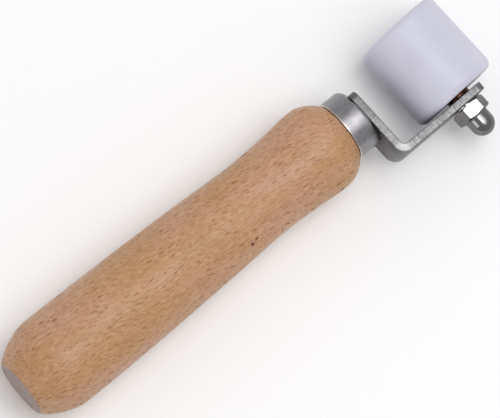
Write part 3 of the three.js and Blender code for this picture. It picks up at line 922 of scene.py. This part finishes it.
def roller():
    """The white sleeve, with a pocket at each end for a bearing."""
    near_shoulder = NEAR_BEARING + BEARING_WIDTH / 2 + GAP
    far_shoulder = FAR_BEARING - BEARING_WIDTH / 2 - GAP
    rim = ROLLER_RADIUS - ROLLER_RIM
    mouth = POCKET_RADIUS + POCKET_CHAMFER
    outline = [
        *arc((rim, ROLLER_TO_ARM + ROLLER_RIM), ROLLER_RIM, -90, 0, 12),
        *arc((rim, ROLLER_END - ROLLER_RIM), ROLLER_RIM, 0, 90, 12),
        (mouth, ROLLER_END),
        (POCKET_RADIUS, ROLLER_END - POCKET_CHAMFER),
        (POCKET_RADIUS, far_shoulder),
        (POCKET_SHOULDER_RADIUS, far_shoulder),
        (POCKET_SHOULDER_RADIUS, near_shoulder),
        (POCKET_RADIUS, near_shoulder),
        (POCKET_RADIUS, ROLLER_TO_ARM + POCKET_CHAMFER),
        (mouth, ROLLER_TO_ARM),
    ]
    piece = lathe("white_roller", outline, AXLE_FRAME, 144, ring=True)
    axis = AXLE_FRAME.col[2]
    paint(piece, white_ptfe("white_ptfe", math.atan2(axis.x, axis.y)))
    settle(piece, "roller", "roller", "roller_sleeve")


def bearing_outlines():
    """Outlines of the rings and shields about the bearing's own middle."""
    half = BEARING_WIDTH / 2
    seat = half - SHIELD_THICKNESS - 2 * FIT
    bore = BOLT_RADIUS + FIT
    inner_reach = math.degrees(math.acos((PITCH_RADIUS - INNER_LAND) / RACE_RADIUS))
    outer_reach = math.degrees(math.acos((OUTER_LAND - PITCH_RADIUS) / RACE_RADIUS))
    race = (PITCH_RADIUS, 0)
    bore_chamfer, land_chamfer, outer_chamfer = 0.25, 0.15, 0.3
    inner = [
        (bore, half - bore_chamfer),
        (bore, bore_chamfer - half),
        (bore + bore_chamfer, -half),
        (INNER_LAND - land_chamfer, -half),
        (INNER_LAND, land_chamfer - half),
        *arc(race, RACE_RADIUS, 180 + inner_reach, 180 - inner_reach, 12),
        (INNER_LAND, half - land_chamfer),
        (INNER_LAND - land_chamfer, half),
        (bore + bore_chamfer, half),
    ]
    outer = [
        (SHIELD_SEAT, -half),
        (BEARING_RADIUS - outer_chamfer, -half),
        (BEARING_RADIUS, outer_chamfer - half),
        (BEARING_RADIUS, half - outer_chamfer),
        (BEARING_RADIUS - outer_chamfer, half),
        (SHIELD_SEAT, half),
        (SHIELD_SEAT, seat),
        (OUTER_LAND, seat),
        *arc(race, RACE_RADIUS, outer_reach, -outer_reach, 12),
        (OUTER_LAND, -seat),
        (SHIELD_SEAT, -seat),
    ]
    return inner, outer


def shield_outline(side):
    """A pressed disc with a curled inner lip; side says which face of the bearing it closes."""
    face = side * (BEARING_WIDTH / 2 - FIT)
    back = face - side * SHIELD_THICKNESS
    lip, rim = INNER_LAND + GAP, SHIELD_SEAT - FIT
    return eased(
        [
            (lip, back),
            (lip, face - side * 0.12),
            (lip + 0.35, face),
            (rim - 0.5, face),
            (rim, face - side * 0.1),
            (rim, back),
        ],
        0.08,
        closed=True,
    )


def bearing(label, centre, materials):
    """Fine rings and shields in place of the CAD's; the cage and the balls stay as they are."""
    inner, outer = bearing_outlines()
    ring_steel, shield_steel, cage_metal, ball_steel = materials
    place = AXLE_FRAME @ Matrix.Translation((0, 0, centre))
    pieces = [
        ("inner_ring", inner, ring_steel, "handle_assembly"),
        ("outer_ring", outer, ring_steel, "roller"),
        ("arm_side_shield", shield_outline(-1), shield_steel, "roller"),
        ("free_side_shield", shield_outline(1), shield_steel, "roller"),
    ]
    for part, outline, material, body in pieces:
        piece = lathe(f"{label}_fine_{part}", outline, place, 96, ring=True)
        paint(piece, material)
        settle(piece, body, "bearing", f"{label}_bearing_{part}")
    paint(frame["nodes"][f"{label}_bearing_cage"], cage_metal)
    for name, node in frame["nodes"].items():
        if name.startswith(f"{label}_bearing_ball"):
            paint(node, ball_steel)


def bearings():
    materials = (
        brushed("bearing_ring_steel", rgb(0.5, 0.505, 0.52), (0.3, 5, 0.3), 0.2),
        brushed("bearing_shield_steel", rgb(0.38, 0.385, 0.4), (0.8, 3, 0.8), 0.3),
        brushed("cage_brass", rgb(0.45, 0.29, 0.13), (2, 0.4, 2), 0.3),
        polished("ball_steel", rgb(0.6, 0.6, 0.62)),
    )
    bearing("near", NEAR_BEARING, materials)
    bearing("far", FAR_BEARING, materials)


# --- Stage, lights and camera -----------------------------------------------------------------------

# The camera looks down on the tool, a little from the butt and from the nut's side, and is rolled
# so that the handle rises to the right.
CAMERA_DISTANCE = 1600
CAMERA_LENS = 387.7
CAMERA_TILT = (math.radians(12.2), math.radians(2.8))
CAMERA_ROLL = math.radians(38.94)
CAMERA_TARGET = Vector((87.62, -1.0, 0))

# The world's brightness goes from dim to bright along this direction
BRIGHT_SIDE = (0.8, 0.6, 0)
DIM_STRENGTH = 0.5
BRIGHT_STRENGTH = 0.7

# In metres
CAMERA_REACH = 50
FLOOR_HALF = 3.0


def camera():
    back = Vector((-math.sin(CAMERA_TILT[0]), -math.sin(CAMERA_TILT[1]), 0))
    back.z = math.sqrt(1 - back.length_squared)
    along = Vector((1, 0, 0))
    along = (along - along.dot(back) * back).normalized()
    aside = back.cross(along)
    right = math.cos(CAMERA_ROLL) * along - math.sin(CAMERA_ROLL) * aside
    up = math.sin(CAMERA_ROLL) * along + math.cos(CAMERA_ROLL) * aside
    data = bpy.data.cameras.new("camera")
    data.lens = CAMERA_LENS
    data.clip_end = CAMERA_REACH
    made = bpy.data.objects.new("camera", data)
    turned = Matrix((right, up, back)).transposed().to_4x4()
    made.matrix_world = Matrix.Translation((CAMERA_TARGET + CAMERA_DISTANCE * back) * MM) @ turned
    bpy.context.scene.collection.objects.link(made)
    bpy.context.scene.camera = made


def area_light(name, direction, distance, size, power):
    """A soft panel that faces the middle of the object; lengths in metres."""
    data = bpy.data.lights.new(name, "AREA")
    data.shape = "RECTANGLE"
    data.size, data.size_y = size
    data.energy = power
    made = bpy.data.objects.new(name, data)
    middle = (CAD_BOX[0] + CAD_BOX[1]) / 2
    towards = Vector(direction).normalized()
    made.location = middle + distance * towards
    made.rotation_mode = "QUATERNION"
    made.rotation_quaternion = towards.to_track_quat("Z", "Y")
    bpy.context.scene.collection.objects.link(made)


def lights():
    """A softbox above, a smaller panel for the glints and a weak one beyond the butt."""
    area_light("softbox", direction=(0.24, -0.12, 0.95), distance=0.9, size=(0.8, 0.6), power=2.9)
    area_light("glint_panel", direction=(0.07, -0.02, 1), distance=1.2, size=(0.36, 0.5), power=2.2)
    area_light("edge_panel", direction=(-0.9, -0.1, 0.45), distance=1.2, size=(0.25, 0.6), power=0.9)


def surroundings():
    """A pale studio room, dimmer on the butt's side."""
    world = bpy.data.worlds.new("studio")
    world.use_nodes = True
    nodes, links = world.node_tree.nodes, world.node_tree.links
    place = nodes.new("ShaderNodeTexCoord")
    towards = nodes.new("ShaderNodeVectorMath")
    towards.operation = "DOT_PRODUCT"
    towards.inputs[1].default_value = BRIGHT_SIDE
    side = nodes.new("ShaderNodeMapRange")
    side.inputs["From Min"].default_value = -1
    side.inputs["To Min"].default_value = DIM_STRENGTH
    side.inputs["To Max"].default_value = BRIGHT_STRENGTH
    links.new(place.outputs["Generated"], towards.inputs[0])
    links.new(towards.outputs["Value"], side.inputs["Value"])
    background = nodes["Background"]
    background.inputs["Color"].default_value = rgb(1, 0.995, 1)
    links.new(side.outputs[0], background.inputs["Strength"])
    bpy.context.scene.world = world


def floor():
    low = CAD_BOX[0].z
    made = bmesh.new()
    corners = [(-1, -1), (1, -1), (1, 1), (-1, 1)]
    made.faces.new([made.verts.new((x * FLOOR_HALF, y * FLOOR_HALF, low)) for x, y in corners])
    mesh = bpy.data.meshes.new("floor")
    made.to_mesh(mesh)
    made.free()
    piece = bpy.data.objects.new("floor", mesh)
    bpy.context.scene.collection.objects.link(piece)
    paint(piece, pale_floor("pale_floor"))


handle()
ferrule()
tang()
bracket()
acorn_nut()
axle_bolt()
small_rings()
roller()
bearings()
floor()
camera()
lights()
surroundings()
bpy.context.scene.view_settings.view_transform = "Standard"
